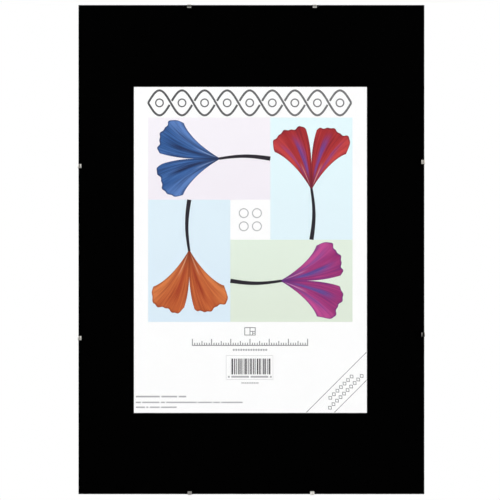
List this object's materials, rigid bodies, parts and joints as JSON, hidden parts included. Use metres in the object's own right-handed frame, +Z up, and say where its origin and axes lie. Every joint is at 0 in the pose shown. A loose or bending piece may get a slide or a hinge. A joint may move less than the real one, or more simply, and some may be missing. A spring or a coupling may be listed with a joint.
{
  "type": "clip frame",
  "caption": "Frameless clip frame for a large print: clear sheet over a small insert on black, hardboard back, held by spring clips round the edges.",
  "frame": {"origin": "centre of the portrait hanging hole, in the plane of the board's back face", "axes": "+X to the right as seen from the front, +Z up as hung in portrait, +Y out of the back towards the wall; the glazed front faces -Y"},
  "size_m": [0.4216, 0.0104, 0.5956],
  "materials": {
    "clear_plastic": "clear polished sheet",
    "printed_paper": "coated white paper with a colour print",
    "black_card": "matt black",
    "hardboard": "brown hardboard, mesh-textured back",
    "spring_steel": "bright nickel-plated spring steel",
    "zinc_plated_steel": "zinc plated, stamped",
    "rivet_steel": "bright zinc plated, flat head"
  },
  "bodies": {
    "panel": {"glazing_sheet": "clear_plastic", "insert_sheet": "printed_paper", "black_backing_sheet": "black_card", "backing_board": "hardboard", "portrait_hanger": "zinc_plated_steel", "portrait_rivets": "rivet_steel", "landscape_hanger": "zinc_plated_steel", "landscape_rivets": "rivet_steel"},
    "clip_top_left": {"clip_top_left": "spring_steel"},
    "clip_top_right": {"clip_top_right": "spring_steel"},
    "clip_right_upper": {"clip_right_upper": "spring_steel"},
    "clip_right_lower": {"clip_right_lower": "spring_steel"},
    "clip_bottom_right": {"clip_bottom_right": "spring_steel"},
    "clip_bottom_left": {"clip_bottom_left": "spring_steel"},
    "clip_left_lower": {"clip_left_lower": "spring_steel"},
    "clip_left_upper": {"clip_left_upper": "spring_steel"}
  },
  "joints": [
    {"name": "clip_top_left_swing", "type": "hinge", "parent": "panel", "child": "clip_top_left", "pos_m": [-0.0755, -0.00685, 0.0422], "axis": [1, 0, 0], "range_deg": [0, 80], "stiffness_Nm_per_rad": 0.02, "springref_deg": -28.65},
    {"name": "clip_top_right_swing", "type": "hinge", "parent": "panel", "child": "clip_top_right", "pos_m": [0.07689, -0.00685, 0.0422], "axis": [1, 0, 0], "range_deg": [0, 80], "stiffness_Nm_per_rad": 0.02, "springref_deg": -28.65},
    {"name": "clip_right_upper_swing", "type": "hinge", "parent": "panel", "child": "clip_right_upper", "pos_m": [0.2072, -0.00685, -0.1457], "axis": [0, 0, -1], "range_deg": [0, 80], "stiffness_Nm_per_rad": 0.02, "springref_deg": -28.65},
    {"name": "clip_right_lower_swing", "type": "hinge", "parent": "panel", "child": "clip_right_lower", "pos_m": [0.2072, -0.00685, -0.355], "axis": [0, 0, -1], "range_deg": [0, 80], "stiffness_Nm_per_rad": 0.02, "springref_deg": -28.65},
    {"name": "clip_bottom_right_swing", "type": "hinge", "parent": "panel", "child": "clip_bottom_right", "pos_m": [0.07389, -0.00685, -0.5462], "axis": [-1, 0, 0], "range_deg": [0, 80], "stiffness_Nm_per_rad": 0.02, "springref_deg": -28.65},
    {"name": "clip_bottom_left_swing", "type": "hinge", "parent": "panel", "child": "clip_bottom_left", "pos_m": [-0.0749, -0.00685, -0.5462], "axis": [-1, 0, 0], "range_deg": [0, 80], "stiffness_Nm_per_rad": 0.02, "springref_deg": -28.65},
    {"name": "clip_left_lower_swing", "type": "hinge", "parent": "panel", "child": "clip_left_lower", "pos_m": [-0.2072, -0.00685, -0.35931], "axis": [0, 0, 1], "range_deg": [0, 80], "stiffness_Nm_per_rad": 0.02, "springref_deg": -28.65},
    {"name": "clip_left_upper_swing", "type": "hinge", "parent": "panel", "child": "clip_left_upper", "pos_m": [-0.2072, -0.00685, -0.15061], "axis": [0, 0, 1], "range_deg": [0, 80], "stiffness_Nm_per_rad": 0.02, "springref_deg": -28.65}
  ]
}
